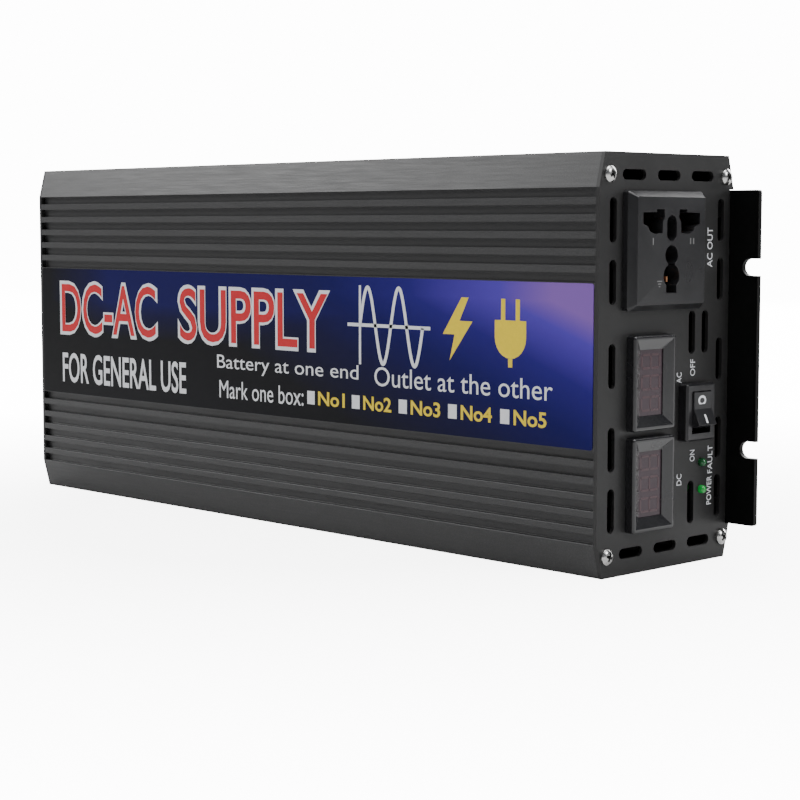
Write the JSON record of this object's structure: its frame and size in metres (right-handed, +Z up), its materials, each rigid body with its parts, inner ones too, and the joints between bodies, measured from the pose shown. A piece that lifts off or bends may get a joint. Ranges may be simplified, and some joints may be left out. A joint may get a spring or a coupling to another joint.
{
  "type": "power inverter",
  "caption": "Box-shaped power inverter in a ribbed metal case with slotted mounting flanges, a wall-style outlet, meters, a rocker switch, a cooling fan and battery terminals.",
  "frame": {"origin": "middle of the case's footprint on the ground, as it stands on its long side", "axes": "+X along the case to the outlet end, +Y through it from the labelled face to the base plate, +Z up"},
  "size_m": [0.3713, 0.0743, 0.145],
  "materials": {
    "case_coat": "fine-textured dark charcoal coat",
    "panel_coat": "satin black coat",
    "label_film": "satin printed film",
    "steel_screw": "bright zinc",
    "black_plastic": "satin black moulding",
    "gloss_black": "glossy black moulding",
    "smoked_red": "smoked red window",
    "display_face": "matt display block",
    "circuit_board": "green solder mask",
    "contact_brass": "plain brass",
    "green_lens": "clear green lens",
    "red_plastic": "glossy red moulding",
    "copper_winding": "enamelled copper",
    "ferrite": "grey ferrite",
    "bare_aluminium": "milled",
    "capacitor_sleeve": "shrink sleeve",
    "wire_sheath": "insulated wire",
    "fuse_body": "translucent amber"
  },
  "bodies": {
    "case": {"case_shell": "case_coat", "base_plate": "panel_coat", "base_screws": "steel_screw", "ac_panel": "panel_coat", "dc_panel": "panel_coat", "ac_panel_screws": "steel_screw", "dc_panel_screws": "steel_screw", "front_label": "label_film", "socket_cover": "black_plastic", "socket_body": "black_plastic", "socket_contacts": "contact_brass", "ac_meter_bezel": "gloss_black", "ac_meter_window": "smoked_red", "ac_meter_display": "display_face", "ac_meter_board": "circuit_board", "dc_meter_bezel": "gloss_black", "dc_meter_window": "smoked_red", "dc_meter_display": "display_face", "dc_meter_board": "circuit_board", "switch_frame": "black_plastic", "switch_terminals": "contact_brass", "fault_led": "green_lens", "power_led": "green_lens", "fan_frame": "black_plastic", "fan_coils": "copper_winding", "fan_guard": "steel_screw", "fan_screws": "steel_screw", "ground_screw": "steel_screw", "main_board": "circuit_board", "board_standoffs": "contact_brass", "board_screws": "steel_screw", "transformer_cores": "ferrite", "transformer_windings": "copper_winding", "heat_bars": "bare_aluminium", "power_transistors": "black_plastic", "input_capacitors": "capacitor_sleeve", "bulk_capacitors": "capacitor_sleeve", "inductor_core": "ferrite", "inductor_winding": "copper_winding", "driver_board": "circuit_board", "fuses": "fuse_body", "ac_leads": "wire_sheath", "panel_leads": "wire_sheath", "fan_leads": "wire_sheath", "positive_stud": "contact_brass", "positive_insulator": "red_plastic", "positive_nut": "steel_screw", "positive_busbar": "contact_brass", "negative_stud": "contact_brass", "negative_insulator": "black_plastic", "negative_nut": "steel_screw", "negative_busbar": "contact_brass"},
    "rocker": {"switch_rocker": "black_plastic", "switch_plunger": "contact_brass"},
    "contact_lever": {"switch_lever": "contact_brass"},
    "fan_wheel": {"fan_rotor": "black_plastic"},
    "positive_lift": {"positive_washer": "steel_screw"},
    "positive_turn": {"positive_knob": "red_plastic"},
    "negative_lift": {"negative_washer": "steel_screw"},
    "negative_turn": {"negative_knob": "black_plastic"}
  },
  "joints": [
    {"name": "rocker_tilt", "type": "hinge", "parent": "case", "child": "rocker", "pos_m": [0.167, 0.0148, 0.0544], "axis": [0, 1, 0], "range_deg": [0, 24]},
    {"name": "lever_tilt", "type": "hinge", "parent": "case", "child": "contact_lever", "pos_m": [0.1565, 0.0148, 0.0544], "axis": [0, 1, 0], "range_deg": [-18, 0]},
    {"name": "fan_spin", "type": "hinge", "parent": "case", "child": "fan_wheel", "pos_m": [-0.157, 0, 0.0725], "axis": [1, 0, 0], "continuous": true},
    {"name": "positive_lift", "type": "slide", "parent": "case", "child": "positive_lift", "axis": [-1, 0, 0], "range_m": [0, 0.006]},
    {"name": "positive_turn", "type": "hinge", "parent": "positive_lift", "child": "positive_turn", "pos_m": [-0.18, 0, 0.1205], "axis": [-1, 0, 0], "range_deg": [0, 1728]},
    {"name": "negative_lift", "type": "slide", "parent": "case", "child": "negative_lift", "axis": [-1, 0, 0], "range_m": [0, 0.006]},
    {"name": "negative_turn", "type": "hinge", "parent": "negative_lift", "child": "negative_turn", "pos_m": [-0.18, 0, 0.0245], "axis": [-1, 0, 0], "range_deg": [0, 1728]}
  ],
  "couplings": [
    {"joint": "lever_tilt", "follows": "rocker_tilt", "ratio": -0.75},
    {"joint": "positive_turn", "follows": "positive_lift", "rad_per_m": 5026.5},
    {"joint": "negative_turn", "follows": "negative_lift", "rad_per_m": 5026.5}
  ]
}
